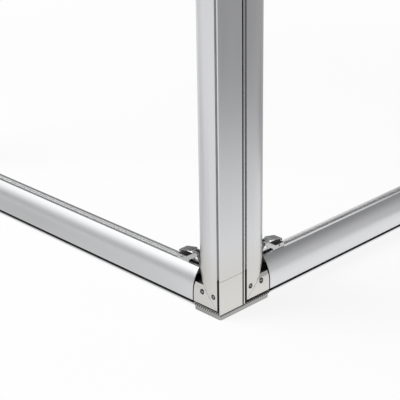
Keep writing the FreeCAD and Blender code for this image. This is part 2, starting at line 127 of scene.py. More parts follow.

# Turned ends of the base's cross screw and the stub rivets, as (radius, height) points from the
# base's side. BASE_SCREW_DARK counts the steps of the socket, from the hidden end, which are
# painted black as the socket's shade.
BASE_SCREW = (31.3, -12.8)
BASE_SCREW_END = ((2.2, 0.55), (1.95, 0.8), (1.3, 0.8), (1.3, 0.1), (0.2, 0.0))
BASE_SCREW_DARK = (3, 4)
PIN_END = ((2.5, 0.0), (3.3, 0.0), (3.3, 0.36), (2.64, 0.68), (1.155, 0.8))

# Corner screws: height, and (along, stand back) of the two on each side. The cone under a head
# ends its radius less SCREW_CONE below its face, and the socket's lip is as (width, height, depth).
# SCREW_DARK counts the dark steps from the tip: all of the head but the socket's lip and floor.
# They are black: painted shade in the gap round the head and on the socket's wall, and the head's
# own dark steel on its face.
SCREW_HEIGHT = 29.2
SCREW_PLACES = ((16.0, 0.0), (41.7, 0.60))
SCREW_HEAD = 4.8
SCREW_LENGTH = 13.0
SCREW_SHANK = 2.5
SCREW_CONE = 2.3
SCREW_EDGE = 0.25
SCREW_RIM = 0.5
SCREW_FACE_STEP = 0.15
SCREW_LIP = (0.2, 0.05, 0.15)
SCREW_RECESS = (1.9, 0.8)
SCREW_POINT = (0.2, 0.3)
SCREW_DARK = (1, 2, 3, 4, 6)

# Plate screws: place as (along, up), and head and length
PLATE_SCREW_PLACE = (31.0, -6.4)
PLATE_SCREW_HEAD = 4.95
PLATE_SCREW_LENGTH = 19.0

# The bars' groove and nose slot, as millimetres from their outer edge, with half the slot's width
GROOVE = (2.5, 7.2)
SLOT = (52.0, 60.0)
SLOT_HALF = 7.5
SLACK = 0.05

# Faceting of turned pieces and bevels, and the angles in degrees from which edges are sharp or
# bevelled
TURN_STEPS = 24
BEVEL_STEPS = 2
SHARP_ANGLE = 35.0
BEVEL_ANGLE = 50.0

# Camera, solved from the photograph
CAMERA_PLACE = (-1.6532, -1.6212, 0.8850)
CAMERA_YAW = 44.09
CAMERA_PITCH = 23.09
CAMERA_ROLL = -1.00
CAMERA_LENS = 103.4
CAMERA_SENSOR = 36.0
CAMERA_CLIP = 50.0

# Lamps: place, the point they face, size and power
KEY_LAMP = ((-2.6, 1.4, 3.0), (-0.4, -0.4, 0.0), (2.2, 2.2), 125.0)
CARD_LAMP = ((1.35, 0.84, 1.20), (0.0, -0.5, 0.1), (0.6, 0.8), 1.3)

# Surroundings that light and reflections see, where 1 is the white of the backdrop. A direction
# comes with the reach of its cosine over which a strength changes.
SOFT_LIGHT = (-0.40, 0.55, 0.73)
SOFT_LIGHT_REACH = (0.77, 0.945)
GLOW_SOFT_LIGHT = 0.95
DARK_PATCH = (0.65, 0.66, 0.38)
DARK_PATCH_REACH = (0.86, 0.97)
GLOW_DARK_PATCH = 0.5
HORIZON_AXIS = (0.68, -0.73, 0.0)
HORIZON_REACH = (-1.0, 1.0)
GLOW_HORIZON = (0.36, 0.62)
NORTH = (0.0, 1.0, 0.0)
ABOVE_REACH = (-0.4, 0.6)
GLOW_ABOVE = (0.18, 0.42)
UP = (0.0, 0.0, 1.0)
CLIMB_REACH = (0.05, 0.55)

# Floor that light and reflections see. Reaches are metres east or north of the wall's corner.
# RAIL_REACH takes their sum, and INSIDE_REACH their difference.
CORNER_PLACE = (LEFT_UPRIGHT[0].x, LEFT_UPRIGHT[0].y)
FRONT_REACH = (-0.85, -0.45, 0.0)
GLOW_FRONT = (0.29, 0.65, 0.88)
RIGHT_REACH = (0.58, 0.95)
RIGHT_NORTH_REACH = (-0.7, -0.1)
GLOW_RIGHT_LOSS = 0.60
INSIDE_REACH = (-0.8, 0.6)
GLOW_LEFT = 0.82
GLOW_RIGHT = 0.43
RAIL_REACH = (0.0, 0.12, 0.5)
GLOW_RAIL_LOSS = (0.15, 0.14)
RAIL_LOSS_EAST = (-0.50, -0.22)
EAST_BORDER = (-0.02, 0.0)
NORTH_BORDER = (-0.02, 0.03)

# Floor that the camera sees: how much of its own shading shows, and over what distance that fades
FLOOR_HALF = 6.0
FLOOR_GREYS = ((0.86, 0.86, 0.86), (0.90, 0.90, 0.90))
FLOOR_GRAIN = (4.0, 4.0, 4.0)
FLOOR_ROUGHNESS = 0.9
FLOOR_SHADE = 0.12
FLOOR_SHADE_REACH = (0.7, 2.2)

# Colours
ALUMINIUM = (0.86, 0.865, 0.88)
WARM_METAL = (0.80, 0.785, 0.75)
PLATE_GREY = (0.50, 0.50, 0.49)
SHEET_GREY = (0.42, 0.425, 0.43)
HOOK_GREY = (0.20, 0.20, 0.205)
# Painted shade on the lever's underside
UNDERSIDE_SHADE_GREY = (0.06, 0.06, 0.062)
CHROME = (0.66, 0.66, 0.665)
STEEL = (0.62, 0.61, 0.59)
BLACK = (0.018, 0.018, 0.019)
CORE_BLACK = (0.035, 0.035, 0.036)
SOLE_GREY = (0.05, 0.05, 0.05)
# Painted highlight: pale stripes for the light on the soles' grip ribs
SOLE_RIB_HIGHLIGHT_GREY = (0.42, 0.42, 0.41)
# Painted shade in the rails' grooves, where shade falls inside them
GROOVE_SHADE_GREY = (0.42, 0.42, 0.43)
# Painted shade on the faces in the gap between the two frames
GAP_SHADE_GREY = (0.14, 0.14, 0.14)
GROOVE_PALE = (0.70, 0.70, 0.71)
SLOT_PALE = (0.85, 0.85, 0.85)
# Painted shade, multiplied in near the wall's ends
PAINTED_SHADE_TINT = (0.10, 0.10, 0.10)
WARM_TINT = [warm / cold for warm, cold in zip(WARM_METAL, ALUMINIUM)]
MOULDING_CONTRAST = 1.8

# Tones that change near the wall's ends, as metres from the end where they are full and gone:
# the uprights' warm tone, and painted shade in the uprights' groove beside the caps and in the
# rails' slot at the latches
WARM_REACH = (0.055, 0.125)
GROOVE_SHADE_REACH = (0.060, 0.0625)
SLOT_SHADE_REACH = (0.082, 0.092)

# The soles' painted rib highlights: their spacing in metres, and the part of a sine over which they
# rise
SOLE_RIB = 0.0047
SOLE_RIB_WAVE = (0.1, 0.7)

# Noise: its middle, which is spread over a range, and the grain's share of the wear
NOISE_MIDDLE = (0.3, 0.7)
GRAIN_SHARE = 0.6

# Noise scales, for a drawn bar as (across, along) its length, and depths of relief in metres
DIE_LINES = (1400.0, 6.0)
DIE_MARKS = (60.0, 3.0)
MOULDING_GRAIN = 2500.0
METAL_RELIEF = 0.00005
MOULDING_STRENGTH = 0.4
MOULDING_RELIEF = 0.0001


def new_material(name):
    """Empty node material; returns it with its tree and its main shader."""
    material = bpy.data.materials.new(name)
    material.use_nodes = True
    tree = material.node_tree
    return material, tree, tree.nodes["Principled BSDF"]


def even(scale):
    """The same noise scale along all three axes."""
    return (scale, scale, scale)


def row_place(tree):
    """The shaded point in the row frame."""
    return tree.nodes.new("ShaderNodeTexCoord").outputs["Object"]


def row_axes(tree):
    """The X, Y and Z of the shaded point in the row frame."""
    split = tree.nodes.new("ShaderNodeSeparateXYZ")
    tree.links.new(row_place(tree), split.inputs["Vector"])
    return split.outputs


def stretched_noise(tree, scale, detail=4.0):
    """Noise in the row frame, stretched by a scale per axis."""
    mapping = tree.nodes.new("ShaderNodeMapping")
    mapping.inputs["Scale"].default_value = scale
    noise = tree.nodes.new("ShaderNodeTexNoise")
    noise.inputs["Scale"].default_value = 1.0
    noise.inputs["Detail"].default_value = detail
    tree.links.new(row_place(tree), mapping.inputs["Vector"])
    tree.links.new(mapping.outputs["Vector"], noise.inputs["Vector"])
    return noise.outputs["Fac"]


def ramp(tree, value, reach, levels=(0.0, 1.0), smooth=False):
    """Node value that goes from one level to the other over a reach and stays level outside it."""
    span = tree.nodes.new("ShaderNodeMapRange")
    if smooth:
        span.interpolation_type = "SMOOTHSTEP"
    span.inputs["From Min"].default_value, span.inputs["From Max"].default_value = reach
    span.inputs["To Min"].default_value, span.inputs["To Max"].default_value = levels
    tree.links.new(value, span.inputs["Value"])
    return span.outputs["Result"]


def maths(tree, operation, *values):
    """Node sum, product and so on of node values or numbers."""
    node = tree.nodes.new("ShaderNodeMath")
    node.operation = operation
    for socket, value in zip(node.inputs, values):
        if isinstance(value, float):
            socket.default_value = value
        else:
            tree.links.new(value, socket)
    return node.outputs["Value"]


def blend(tree, factor, first, second):
    """Node value that is the first where the factor is nought and the second where it is one."""
    return maths(tree, "ADD", maths(tree, "MULTIPLY", first, maths(tree, "SUBTRACT", 1.0, factor)),
                 maths(tree, "MULTIPLY", second, factor))


def dot_product(tree, vector, direction):
    """Node value of how far a node vector points in a direction."""
    node = tree.nodes.new("ShaderNodeVectorMath")
    node.operation = "DOT_PRODUCT"
    node.inputs[1].default_value = direction
    tree.links.new(vector, node.inputs[0])
    return node.outputs["Value"]


def scaled_colour(colour, factor):
    return tuple(channel * factor for channel in colour)


def mixed_colour(tree, factor, first, second, blend_type="MIX"):
    """Node colour between a colour, or a node's colour, and a second colour."""
    mix = tree.nodes.new("ShaderNodeMix")
    mix.data_type = "RGBA"
    mix.blend_type = blend_type
    if isinstance(first, bpy.types.NodeSocket):
        tree.links.new(first, mix.inputs["A"])
    else:
        mix.inputs["A"].default_value = (*first, 1.0)
    mix.inputs["B"].default_value = (*second, 1.0)
    tree.links.new(factor, mix.inputs["Factor"])
    return mix.outputs["Result"]


def mixed_shader(tree, factor, first, second):
    """Shader that is the first where the factor is nought and the second where it is one."""
    mix = tree.nodes.new("ShaderNodeMixShader")
    for value, socket in zip((factor, first, second), mix.inputs):
        tree.links.new(value, socket)
    return mix.outputs["Shader"]


def output_by_ray(tree, camera_sees, others_see, output):
    """Give the camera one shader, and light and reflections another."""
    camera_ray = tree.nodes.new("ShaderNodeLightPath").outputs["Is Camera Ray"]
    mixed = mixed_shader(tree, camera_ray, others_see, camera_sees)
    tree.links.new(mixed, tree.nodes[output].inputs["Surface"])


def bumped(tree, shader, height, strength, distance):
    """Give a shader a relief from a node height."""
    bump = tree.nodes.new("ShaderNodeBump")
    bump.inputs["Strength"].default_value = strength
    bump.inputs["Distance"].default_value = distance
    tree.links.new(height, bump.inputs["Height"])
    tree.links.new(bump.outputs["Normal"], shader.inputs["Normal"])


def near_ends(tree, axis, reach):
    """One near both ends of the wall's run along an axis, and nought further along."""
    value = row_axes(tree)["XYZ"[axis]]
    low, high = reach
    start, end = RUNS[axis]
    before = ramp(tree, value, (start + low, start + high), (1.0, 0.0), smooth=True)
    after = ramp(tree, value, (end - high, end - low), smooth=True)
    return maths(tree, "MAXIMUM", before, after)


def metal(name, colour, roughness, grain, marks=even(35.0), strength=0.25, metallic=1.0,
          contrast=0.93, warm_ends=False):
    """Metal with a directional grain, soft uneven patches and a fine relief."""
    material, tree, shader = new_material(name)
    lines = stretched_noise(tree, grain)
    patches = stretched_noise(tree, marks, 3.0)
    both = maths(tree, "MULTIPLY_ADD", lines, GRAIN_SHARE,
                 maths(tree, "MULTIPLY", patches, 1.0 - GRAIN_SHARE))
    surface = mixed_colour(tree, ramp(tree, both, NOISE_MIDDLE), scaled_colour(colour, contrast),
                           colour)
    if warm_ends:
        ends = near_ends(tree, UPRIGHT, WARM_REACH)
        surface = mixed_colour(tree, ends, surface, WARM_TINT, "MULTIPLY")
    tree.links.new(surface, shader.inputs["Base Color"])
    tree.links.new(ramp(tree, both, NOISE_MIDDLE, roughness), shader.inputs["Roughness"])
    shader.inputs["Metallic"].default_value = metallic
    bumped(tree, shader, lines, strength, METAL_RELIEF)
    return material


def extrusion(name, axis):
    """Anodised aluminium drawn along one axis: fine die lines, hardly any along the length."""
    grain, marks = ([length if i == axis else across for i in range(3)]
                    for across, length in (DIE_LINES, DIE_MARKS))
    return metal(name, ALUMINIUM, (0.27, 0.36), grain, marks, strength=0.35, contrast=0.95,
                 warm_ends=axis == UPRIGHT)


def raw_slot(name):
    """Pale unpolished inside of a bar's nose slot."""
    return metal(name, SLOT_PALE, (0.45, 0.60), even(700.0), metallic=0.1)


def moulding(name, colour, roughness=(0.5, 0.7)):
    """Dark moulding with a fine spark-eroded grain."""
    material, tree, shader = new_material(name)
    grain = stretched_noise(tree, even(MOULDING_GRAIN), 2.0)
    surface = mixed_colour(tree, ramp(tree, grain, NOISE_MIDDLE), colour,
                           scaled_colour(colour, MOULDING_CONTRAST))
    tree.links.new(surface, shader.inputs["Base Color"])
    tree.links.new(ramp(tree, grain, NOISE_MIDDLE, roughness), shader.inputs["Roughness"])
    bumped(tree, shader, grain, MOULDING_STRENGTH, MOULDING_RELIEF)
    return material


def recoloured(material, factor, colour, blend_type="MIX"):
    """Mix a colour over a material's own where the factor is one."""
    tree = material.node_tree
    base = tree.nodes["Principled BSDF"].inputs["Base Color"]
    own = base.links[0].from_socket
    tree.links.new(mixed_colour(tree, factor, own, colour, blend_type), base)
    return material


def shaded_near_ends(material, axis, reach):
    """Paint shade over a material near both ends of the wall's run along an axis."""
    return recoloured(material, near_ends(material.node_tree, axis, reach), PAINTED_SHADE_TINT, "MULTIPLY")


def paint_rib_highlights(material):
    """Paint pale stripes square to a sole's frame: highlights of grip ribs that have no relief."""
    tree = material.node_tree
    axes = row_axes(tree)
    border = LEFT_UPRIGHT[1].x
    right = ramp(tree, axes["X"], (border, border + MM))
    run = maths(tree, "MULTIPLY", blend(tree, right, axes["Y"], axes["X"]), math.tau / SOLE_RIB)
    rib_highlight = ramp(tree, maths(tree, "SINE", run), SOLE_RIB_WAVE, smooth=True)
    return recoloured(material, rib_highlight, SOLE_RIB_HIGHLIGHT_GREY)


FINISHES = {
    "upright": extrusion("upright_anodised", UPRIGHT),
    "left_rail": extrusion("left_rail_anodised", ALONG["left"]),
    "right_rail": extrusion("right_rail_anodised", ALONG["right"]),
    # The rails' grooves: painted shade
    "rail_groove": metal("rail_groove_painted_shade", GROOVE_SHADE_GREY, (0.40, 0.55), even(700.0)),
    # The uprights' groove: pale, with painted shade beside the caps
    "upright_groove": shaded_near_ends(metal("upright_groove_pale_end_shade", GROOVE_PALE, (0.45, 0.60),
                                     even(700.0), metallic=0.3), UPRIGHT, GROOVE_SHADE_REACH),
    "upright_slot": raw_slot("slot_raw"),
    # The rails' slots: pale, with painted shade where the latches cover them
    "left_rail_slot": shaded_near_ends(raw_slot("left_slot_raw_latch_shade"), ALONG["left"], SLOT_SHADE_REACH),
    "right_rail_slot": shaded_near_ends(raw_slot("right_slot_raw_latch_shade"), ALONG["right"], SLOT_SHADE_REACH),
    # The faces in the gap between the frames: painted shade
    "gap": metal("gap_painted_shade", GAP_SHADE_GREY, (0.45, 0.60), even(700.0)),
    "cap": metal("cap_satin", WARM_METAL, (0.27, 0.35), (900.0, 900.0, 60.0), contrast=0.97),
    "core": moulding("core_moulded", CORE_BLACK, (0.3, 0.5)),
    # The soles: dark moulding with painted rib highlights
    "sole": paint_rib_highlights(moulding("sole_moulded_rib_highlights", SOLE_GREY)),
    "plate": metal("plate_satin", PLATE_GREY, (0.3, 0.45), even(250.0)),
    "lever": metal("lever_zinc", SHEET_GREY, (0.28, 0.42), even(500.0)),
    "chrome": metal("latch_chrome", CHROME, (0.12, 0.24), even(300.0), strength=0.12),
    "hook": metal("hook_zinc", HOOK_GREY, (0.3, 0.45), even(500.0)),
    "screw": metal("screw_steel", STEEL, (0.22, 0.36), even(900.0)),
    # Black of painted shade in sockets, round screw heads and on the base's top; also the screw
    # heads' dark faces
    "socket": moulding("socket_shadow", BLACK),
    # The lever's underside: painted shade
    "under": metal("lever_underside_painted_shade", UNDERSIDE_SHADE_GREY, (0.45, 0.6), even(500.0)),
}

# Finish of a CAD node by the end of its name; the rails' finishes are named after their frame
NODE_FINISHES = (("upright", "upright"), ("cap", "cap"), ("cheeks", "cap"), ("core", "core"),
                 ("soles", "sole"), ("plate", "plate"), ("keepers", "hook"), ("hook", "hook"),
                 ("lever", "lever"), ("base", "chrome"), ("pins", "chrome"),
                 ("base_screws", "chrome"), ("screws", "screw"))
# Nodes whose faces in the gap between the frames take painted shade
GAP_NODES = ("right_corner_upright", "right_bottom_corner_cap", "right_top_corner_cap")


def node_finish(node_name):
    """Name of the finish of a CAD node."""
    if node_name.endswith("rail"):
        return node_name.split("_")[0] + "_rail"
    return next(finish for ending, finish in NODE_FINISHES if node_name.endswith(ending))


def from_outer_edge(node_name, point):
    """A row-frame point's distance in millimetres from the outer edge of the bar it is on."""
    side, where, bar = node_name.split("_")
    if bar == "rail":
        return (point.z - FRAME_BOTTOM if where == "bottom" else FRAME_TOP - point.z) / MM
    axis = ALONG[side]
    along = (point[axis] - ORIGINS[side][axis]) / MM
    return along if where == "corner" else LENGTH - along


def finish_hollows(node_name, node):
    """Give the faces inside a bar's groove and nose slot their own finishes: painted shade in the
    rails' grooves, and pale faces with painted shade near the wall's ends in the uprights' grooves
    and the rails' slots.
    """
    finish = node_finish(node_name)
    node.data.materials.append(FINISHES["upright_groove" if finish == "upright" else "rail_groove"])
    node.data.materials.append(FINISHES[finish + "_slot"])
    side = node_name.split("_")[0]
    axis = 1 - ALONG[side]
    for face in node.data.polygons:
        centre = node.matrix_world @ face.center
        distance = from_outer_edge(node_name, centre)
        off_middle = abs((centre[axis] - ORIGINS[side][axis]) / MM - MIDDLE)
        if GROOVE[0] - SLACK < distance < GROOVE[1] + SLACK:
            face.material_index = 1
        elif SLOT[0] - SLACK < distance < SLOT[1] - SLACK and off_middle < SLOT_HALF + SLACK:
            face.material_index = 2


def shade_gap_side(node):
    """Give the right frame's faces that look into the gap between the frames a painted shade."""
    node.data.materials.append(FINISHES["gap"])
    for face in node.data.polygons:
        if abs((node.matrix_world @ face.center).x - ORIGINS["right"].x) < SLACK * MM:
            face.material_index = len(node.data.materials) - 1


for node_name, node in frame["nodes"].items():
    node.data.materials.clear()
    node.data.materials.append(FINISHES[node_finish(node_name)])
    if node_name.endswith("upright") or node_name.endswith("rail"):
        finish_hollows(node_name, node)
    if node_name in GAP_NODES:
        shade_gap_side(node)


def corner_matrix(side, level, end):
    """From a corner's own millimetres to the row frame, for one of the eight frame corners."""
    matrix = Matrix.Identity(4)
    if end == "end":
        matrix = Matrix(((1, 0, 0, 0), (0, -1, 0, LENGTH), (0, 0, 1, 0), (0, 0, 0, 1))) @ matrix
    if level == "top":
        matrix = Matrix(((1, 0, 0, 0), (0, 1, 0, 0), (0, 0, -1, HEIGHT), (0, 0, 0, 1))) @ matrix
    if side == "right":
        matrix = Matrix(((0, 1, 0, 0), (1, 0, 0, 0), (0, 0, 1, 0), (0, 0, 0, 1))) @ matrix
    return Matrix.Translation(ORIGINS[side]) @ Matrix.Scale(MM, 4) @ matrix


def corners():
    """The eight frame corners' names and matrices."""
    for side in SIDES:
        for level in LEVELS:
            for end in ENDS:
                yield f"{side}_{level}_{end}", corner_matrix(side, level, end)


def local_point(place):
    """A row-frame point near the left frame's bottom corner, as (along, up) millimetres."""
    return ((place[1] - ORIGINS["left"].y) / MM, (place[2] - ORIGINS["left"].z) / MM)


PIVOT = local_point(JOINTS["left_bottom_corner_lever_swing"]["pos_m"])
HOOK_PIN = local_point(JOINTS["left_bottom_corner_hook_swing"]["pos_m"])


def at_pivot(points):
    """Points given from the lever's pivot, as (along, up) in the corner."""
    return [(PIVOT[0] + along, PIVOT[1] + up) for along, up in points]


def arc(centre, radius, start, end, steps):
    """Points of an arc from one angle in degrees to another."""
    angles = [math.radians(start + (end - start) * step / steps) for step in range(steps + 1)]
    return [(centre[0] + radius * math.cos(angle), centre[1] + radius * math.sin(angle))
            for angle in angles]


def centred(width):
    """Span of this width across the middle of the frame's depth."""
    return (MIDDLE - width / 2, MIDDLE + width / 2)


def both_strips(low, high):
    """The two spans that lie from low to high on either side of the middle."""
    return [(MIDDLE - high, MIDDLE - low), (MIDDLE + low, MIDDLE + high)]


def add_prism(mesh, outline, across, dark=()):
    """Closed prism across the frame over an outline of (along, up) points.

    Sides that end at the outline's points named in dark take the piece's second finish, the black
    of painted shade.
    """
    rings = [[mesh.verts.new((level, along, up)) for along, up in outline] for level in across]
    mesh.faces.new(rings[0])
    mesh.faces.new(rings[1][::-1])
    for i in range(len(outline)):
        face = mesh.faces.new((rings[0][i - 1], rings[1][i - 1], rings[1][i], rings[0][i]))
        face.material_index = int(i in dark)


def add_ribbon(mesh, path, thickness, across):
    """Bent strip of sheet of even thickness along a centre line of (along, up) points.

    Its inner side, away from the light, takes the piece's second finish, a painted shade.
    """
    inner, outer = [], []
    for i, point in enumerate(path):
        before = path[max(i - 1, 0)]
        after = path[min(i + 1, len(path) - 1)]
        run, rise = after[0] - before[0], after[1] - before[1]
        length = math.hypot(run, rise)
        shift = (-rise / length * thickness / 2, run / length * thickness / 2)
        outer.append((point[0] + shift[0], point[1] + shift[1]))
        inner.append((point[0] - shift[0], point[1] - shift[1]))
    count = len(path)
    rings = [[mesh.verts.new((level, *point)) for point in outer + inner[::-1]] for level in across]
    for i in range(count - 1):
        j = 2 * count - 1 - i
        mesh.faces.new((rings[0][i], rings[0][i + 1], rings[0][j - 1], rings[0][j]))
        mesh.faces.new((rings[1][i + 1], rings[1][i], rings[1][j], rings[1][j - 1]))
    for i in range(2 * count):
        face = mesh.faces.new((rings[0][i - 1], rings[1][i - 1], rings[1][i], rings[0][i]))
        face.material_index = int(i > count)


def add_lathe(mesh, profile, centre, across, toward=1, dark=()):
    """Turned piece about an axis across the frame, through (radius, height) points.

    Steps of the profile named in dark take the piece's second finish, the black of painted shade.
    """
    rings = []
    for radius, height in profile:
        rings.append([mesh.verts.new((across + toward * height, *point))
                      for point in arc(centre, radius, 0, 360, steps=TURN_STEPS)[:-1]])
    for step, (low, high) in enumerate(zip(rings, rings[1:])):
        for i in range(TURN_STEPS):
            face = mesh.faces.new((low[i - 1], low[i], high[i], high[i - 1]))
            face.material_index = int(step in dark)
    mesh.faces.new(rings[0])
    mesh.faces.new(rings[-1]).material_index = int(bool(dark))


def draw_lever(mesh):
    """Pressed lever: two rolled knuckles with ears, a bent plate and a rolled free edge."""
    centre_radius = KNUCKLE_RADIUS - SHEET / 2
    drop = (LEVER_REACH - LEVER_FLAT) * math.tan(math.radians(LEVER_SLOPE))
    roll_centre = (LEVER_REACH, KNUCKLE_RADIUS - drop - ROLL_RADIUS)
    knuckle = arc((0, 0), centre_radius, KNUCKLE_OPEN, 90, steps=20)
    plate = [(LEVER_NOTCH_RUN, centre_radius)]
    plate += [(LEVER_FLAT + along, centre_radius - down) for along, down in LEVER_BEND]
    plate += arc(roll_centre, ROLL_RADIUS - SHEET / 2, 90 - LEVER_SLOPE, ROLL_END, steps=20)
    knuckle.append((LEVER_NOTCH_RUN + SHEET, centre_radius))
    top = PIVOT[1] + centre_radius
    ear = arc(HOOK_PIN, EAR_RADIUS, 0, -180, steps=12)
    ear += [(ear[-1][0], top), (ear[0][0], top)]
    for strip in both_strips(*STRIP):
        add_ribbon(mesh, at_pivot(knuckle), SHEET, strip)
        add_prism(mesh, ear, strip)
    add_ribbon(mesh, at_pivot(plate), SHEET, centred(LEVER_WIDTH))
    width = 2 * STRIP[1]
    end_radius = HOOK_PIN_RADIUS - HOOK_PIN_CHAMFER
    add_lathe(mesh, [(end_radius, -HOOK_PIN_CHAMFER), (HOOK_PIN_RADIUS, 0.0),
                     (HOOK_PIN_RADIUS, width), (end_radius, width + HOOK_PIN_CHAMFER)],
              HOOK_PIN, MIDDLE - STRIP[1])


def draw_hook(mesh):
    """Draw hook: eye, bar and claw."""
    shoulder = ((CLAW[0] + CLAW[1]) / 2, SHOULDER_RISE)
    eye = (HOOK_PIN[0] - PIVOT[0], HOOK_PIN[1] - PIVOT[1])
    tilt = math.degrees(math.atan2(eye[1] - shoulder[1], eye[0] - shoulder[0]))
    outline = arc(eye, EYE_RADIUS, tilt - EYE_HALF_ARC, tilt + EYE_HALF_ARC, steps=20)
    outline += arc(shoulder, HOOK_BAR / 2, tilt + 90, 180, steps=6)
    outline += [(CLAW[0], CLAW_FOOT + CLAW_CHAMFER), (CLAW[0] + CLAW_CHAMFER, CLAW_FOOT),
                (CLAW[1], CLAW_FOOT)]
    outline += arc(shoulder, HOOK_BAR / 2, SHOULDER_END, tilt - 90, steps=2)
    add_prism(mesh, at_pivot(outline), centred(HOOK_THICKNESS))


def draw_base(mesh):
    """Cast base: block, neck and shoe in the rail's slot, and two rounded arms."""
    low, high = BASE_RUN
    bottom, top = BASE_RISE
    block = [(low, bottom), (high, bottom), (high, top - BASE_CHAMFER), (high - BASE_CHAMFER, top),
             (low + BASE_CHAMFER, top), (low, top - BASE_CHAMFER)]
    add_prism(mesh, at_pivot(block), centred(BASE_WIDTH - ARM_PROUD), BASE_TOP_SHADE)
    near, far = low + FOOT_INSET, high - FOOT_INSET
    for width, (upper, lower) in ((NECK_WIDTH, (0.0, FOOT_DEPTH[0])), (SHOE_WIDTH, FOOT_DEPTH)):
        outline = [(near, bottom - upper), (far, bottom - upper),
                   (far, bottom - lower), (near, bottom - lower)]
        add_prism(mesh, at_pivot(outline), centred(width))
    tilt = math.degrees(math.atan2(-ARM_ROOT[1], -ARM_ROOT[0]))
    arm = arc((0, 0), ARM_RADIUS, tilt - 90, tilt + 90, steps=16)
    arm += arc(ARM_ROOT, ARM_RADIUS, tilt + 90, tilt - 90, steps=1)
    half = BASE_WIDTH / 2
    for across in both_strips(half - ARM_THICKNESS, half):
        add_prism(mesh, at_pivot(arm), across)


def add_both_ends(mesh, centre, start, profile, dark=()):
    """Turned ends that stand out of the base's two sides, from start inside it."""
    for toward in (-1, 1):
        add_lathe(mesh, [(profile[0][0], start), *profile], centre,
                  MIDDLE + toward * BASE_WIDTH / 2, toward, dark)


def draw_pins(mesh):
    """Stub rivets with domed heads."""
    add_both_ends(mesh, PIVOT, STRIP[0] - BASE_WIDTH / 2, PIN_END)


def draw_base_screw(mesh):
    """Ends of the cross screw, with a socket in each."""
    add_both_ends(mesh, at_pivot([BASE_SCREW])[0], -BASE_WIDTH / 2, BASE_SCREW_END, BASE_SCREW_DARK)


def screw_profile(head, length):
    """Countersunk screw with a socket in its head, as (radius, height) points from its tip."""
    recess, depth = SCREW_RECESS
    lip_width, lip_height, lip_depth = SCREW_LIP
    rim = head - SCREW_RIM
    return [(SCREW_SHANK, -length), (SCREW_SHANK, SCREW_CONE - head), (head, -SCREW_EDGE),
            (rim, -SCREW_EDGE), (rim - SCREW_FACE_STEP, 0.0), (recess + lip_width, lip_height),
            (recess, -lip_depth), (recess, -depth), (SCREW_POINT[0], -depth - SCREW_POINT[1])]


def draw_screws(mesh):
    """The corner's four countersunk screws."""
    profile = screw_profile(SCREW_HEAD, SCREW_LENGTH)
    for along, stand_back in SCREW_PLACES:
        centre = (along, SCREW_HEIGHT)
        add_lathe(mesh, profile, centre, stand_back, -1, SCREW_DARK)
        add_lathe(mesh, profile, centre, DEPTH - stand_back, 1, SCREW_DARK)


def draw_plate_screw(mesh):
    """Plate screw about the local across axis, its head's face at the origin."""
    profile = screw_profile(PLATE_SCREW_HEAD, PLATE_SCREW_LENGTH)
    add_lathe(mesh, profile, (0.0, 0.0), 0.0, 1, SCREW_DARK)


PLATE_SCREW_TURN = Matrix(((0, 0, 1, MIDDLE), (0, 1, 0, PLATE_SCREW_PLACE[0]),
                           (-1, 0, 0, PLATE_SCREW_PLACE[1]), (0, 0, 0, 1)))

# A corner's skins: name, drawing, finish, body, node that it stands for, bevel and second finish
# of painted shade, where {} is the corner's name
SKINS = (
    ("{}_lever_skin", draw_lever, "lever", "{}_lever", "{}_latch_lever", LEVER_BEVEL, "under"),
    ("{}_hook_skin", draw_hook, "hook", "{}_hook", "{}_latch_hook", HOOK_BEVEL, None),
    ("{}_base_skin", draw_base, "chrome", "wall", "{}_latch_base", BASE_BEVEL, "socket"),
    ("{}_pins_skin", draw_pins, "chrome", "wall", "latch_pivot_pins", 0.0, None),
    ("{}_base_screw_skin", draw_base_screw, "chrome", "wall", "latch_base_screws", 0.0, "socket"),
    ("{}_screws_skin", draw_screws, "screw", "wall", "corner_screws", 0.0, "socket"),
)
PLATE_SCREW_SKIN = ("{}_plate_screw_skin", draw_plate_screw, "screw", "wall", "plate_screws", 0.0,
                    "socket")


def add_skin(corner, matrix, skin):
    """One skin, drawn in a corner's millimetres and placed there, that stands for a CAD node.

    The second finish, a painted shade, goes to the faces that the drawing gave material index 1.
    """
    name, draw, finish, body, node_name, bevel, second = skin
    mesh = bmesh.new()
    draw(mesh)
    bmesh.ops.transform(mesh, matrix=matrix, verts=mesh.verts)
    bmesh.ops.recalc_face_normals(mesh, faces=mesh.faces)
    data = bpy.data.meshes.new(name.format(corner))
    mesh.to_mesh(data)
    mesh.free()
    data.shade_smooth()
    data.set_sharp_from_angle(angle=math.radians(SHARP_ANGLE))
    obj = bpy.data.objects.new(name.format(corner), data)
    bpy.context.collection.objects.link(obj)
    if bevel:
        rounding = obj.modifiers.new("rounding", "BEVEL")
        rounding.width = bevel * MM
        rounding.segments = BEVEL_STEPS
        rounding.limit_method = "ANGLE"
        rounding.angle_limit = math.radians(BEVEL_ANGLE)
        rounding.harden_normals = True
    data.materials.append(FINISHES[finish])
    if second:
        data.materials.append(FINISHES[second])
    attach(obj, body.format(corner))
    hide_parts(node_name.format(corner))


# The free ends' tops have no plate, so no plate screw
for corner, matrix in corners():
    for skin in SKINS:
        add_skin(corner, matrix, skin)
    if "top_end" not in corner:
        add_skin(corner, matrix @ PLATE_SCREW_TURN, PLATE_SCREW_SKIN)


